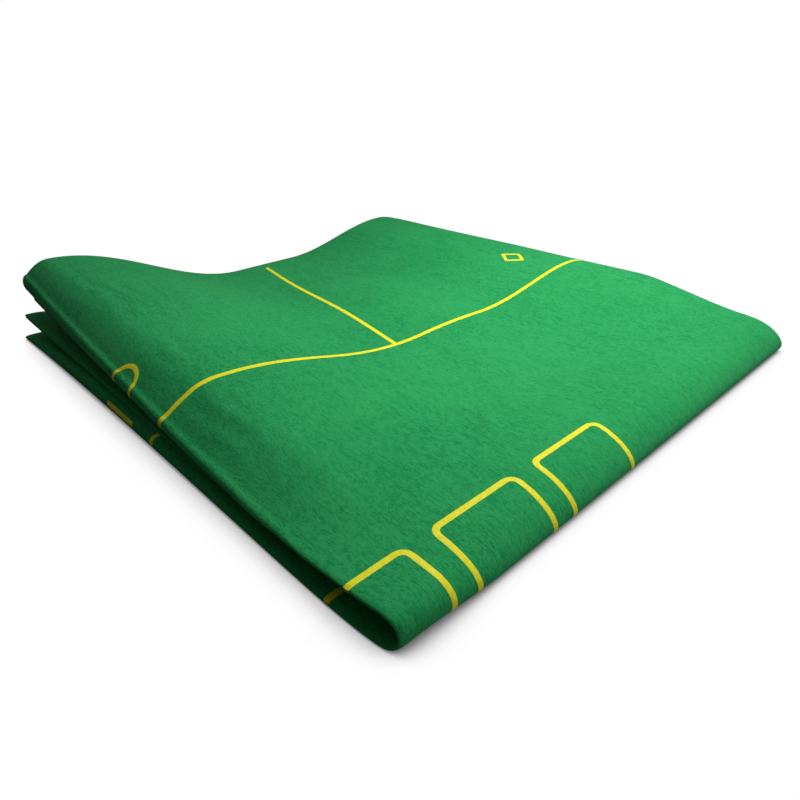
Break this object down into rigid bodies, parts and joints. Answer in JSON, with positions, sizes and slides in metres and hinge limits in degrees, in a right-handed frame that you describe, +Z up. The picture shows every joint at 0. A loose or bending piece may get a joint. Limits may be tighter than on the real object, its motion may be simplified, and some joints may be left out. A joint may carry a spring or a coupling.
{
  "type": "blackjack table layout felt",
  "caption": "Printed green felt table layout, folded into a square packet that opens along its spine fold.",
  "frame": {"origin": "centre of the bottom panel's underside, where the folded packet rests", "axes": "+X along the spine from the centre fold to the quarter folds, +Y from the spine to the cut edges, +Z up"},
  "size_m": [0.4604, 0.4764, 0.066],
  "materials": {
    "felt": "needled felt, matt",
    "print": "screen-printed ink"
  },
  "bodies": {
    "lower_half": {"panel_5": "felt", "panel_6": "felt", "panel_7": "felt", "panel_8_bottom": "felt", "centre_fold_lower": "felt", "quarter_fold_outer_lower": "felt", "quarter_fold_inner_lower": "felt", "spine_bend_5": "felt", "spine_bend_6": "felt", "spine_bend_7": "felt", "spine_bend_8": "felt", "box_1_lower": "print", "box_2_lower": "print", "box_3_lower": "print", "centre_fold_marks": "print"},
    "upper_half": {"panel_1_top": "felt", "panel_2": "felt", "panel_3": "felt", "panel_4": "felt", "centre_fold_upper": "felt", "quarter_fold_outer_upper": "felt", "quarter_fold_inner_upper": "felt", "spine_bend_1": "felt", "spine_bend_2": "felt", "spine_bend_3": "felt", "spine_bend_4": "felt", "box_1_upper": "print", "box_2_upper": "print", "box_3_upper": "print", "long_line": "print", "divider_line": "print", "diamond_mark": "print", "ring_mark": "print", "panel_3_line": "print"}
  },
  "joints": [
    {"name": "spine_fold", "type": "hinge", "parent": "lower_half", "child": "upper_half", "pos_m": [0, -0.2384, 0.0115], "axis": [1, 0, 0], "range_deg": [0, 170]}
  ]
}
